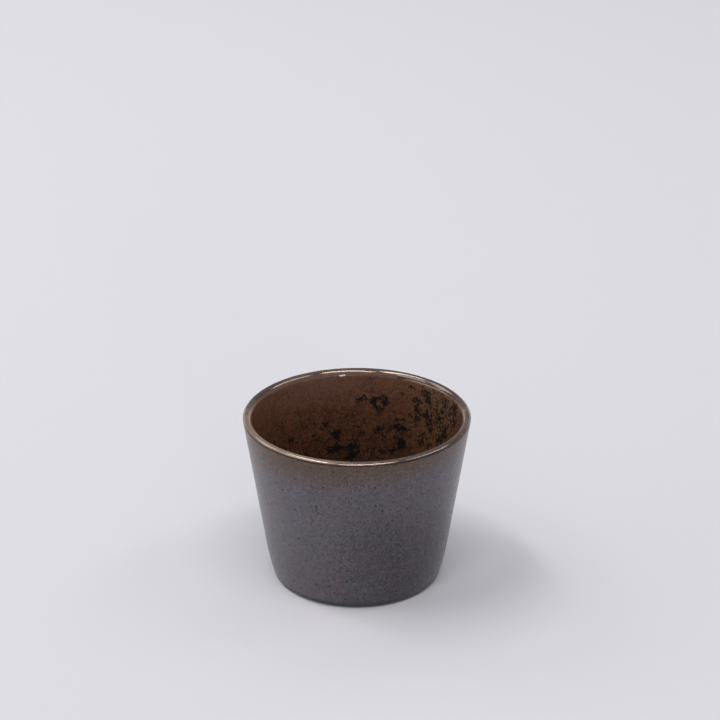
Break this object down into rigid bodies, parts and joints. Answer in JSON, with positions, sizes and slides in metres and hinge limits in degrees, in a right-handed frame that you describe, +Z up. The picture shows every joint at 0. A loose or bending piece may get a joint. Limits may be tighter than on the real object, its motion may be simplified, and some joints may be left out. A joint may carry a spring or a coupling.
{
  "type": "soba choko cup",
  "caption": "Small tapered stoneware cup for dipping sauce or tea, satin dark grey outside, glossy spotted brown inside, on a bare foot ring.",
  "frame": {"origin": "on the cup's axis, in the plane that the foot ring rests on", "axes": "+Z up along the cup's axis, towards the mouth; X and Y are free, because the cup is round"},
  "size_m": [0.08, 0.08, 0.0615],
  "materials": {
    "bare_clay": "fired stoneware, bare and slightly sandy",
    "satin_grey_glaze": "satin metallic iron grey with fine dark specks, brown under the lip",
    "gloss_brown_glaze": "glossy iron brown with black oil spots, tan where it thins over the lip",
    "base_grey_glaze": "satin iron grey"
  },
  "bodies": {
    "root": {"clay_body": "bare_clay", "outer_glaze": "satin_grey_glaze", "inner_glaze": "gloss_brown_glaze", "base_glaze": "base_grey_glaze"}
  },
  "joints": []
}
